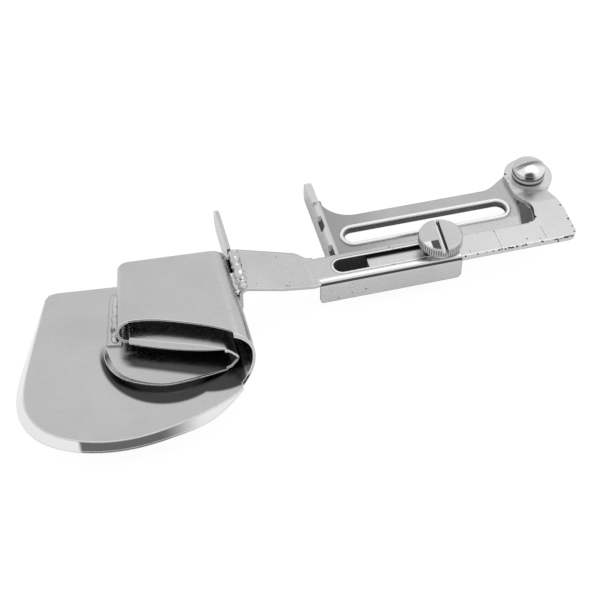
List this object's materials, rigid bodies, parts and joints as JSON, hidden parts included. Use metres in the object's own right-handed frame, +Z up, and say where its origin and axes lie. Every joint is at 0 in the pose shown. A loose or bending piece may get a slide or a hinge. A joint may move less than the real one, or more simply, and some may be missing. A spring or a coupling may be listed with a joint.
{
  "type": "swing-away bias binder attachment",
  "caption": "Bias binder for a sewing machine: slotted bracket, hinged graduated plate, sliding channel arm with clamp screw, and a folded scroll that wraps tape round a fabric edge.",
  "frame": {"origin": "centre of the bounding box at rest, on the plane that the bracket's feet stand on", "axes": "+X along the slotted bracket towards the hinge screw, +Y to the back, +Z up from the machine bed"},
  "size_m": [0.1362, 0.0694, 0.0155],
  "materials": {
    "bracket_steel": "nickel-plated steel, worn satin",
    "plate_steel": "nickel-plated steel, satin with small chips and scratches",
    "scroll_steel": "nickel-plated steel, fine satin",
    "screw_steel": "polished and plated",
    "solder": "rough solder, plated over"
  },
  "bodies": {
    "bracket": {"mounting_bracket": "bracket_steel", "hinge_screw": "screw_steel"},
    "swing_plate": {"scale_plate": "plate_steel"},
    "clamp": {"clamp_screw": "screw_steel"},
    "scroll_carrier": {"slide_arm": "plate_steel", "weld_bead": "solder", "scroll_shell": "scroll_steel", "scroll_tongue": "scroll_steel", "edge_guide": "scroll_steel", "guide_solder": "solder"}
  },
  "joints": [
    {"name": "swing", "type": "hinge", "parent": "bracket", "child": "swing_plate", "pos_m": [0.06225, 0.02081, 0.008], "axis": [0, 0, 1], "range_deg": [0, 110]},
    {"name": "slide", "type": "slide", "parent": "swing_plate", "child": "scroll_carrier", "axis": [1, 0, 0], "range_m": [-0.0006, 0.019]},
    {"name": "clamp_turn", "type": "hinge", "parent": "swing_plate", "child": "clamp", "pos_m": [0.03275, 0.00091, 0.012], "axis": [0, 0, 1], "continuous": true}
  ]
}
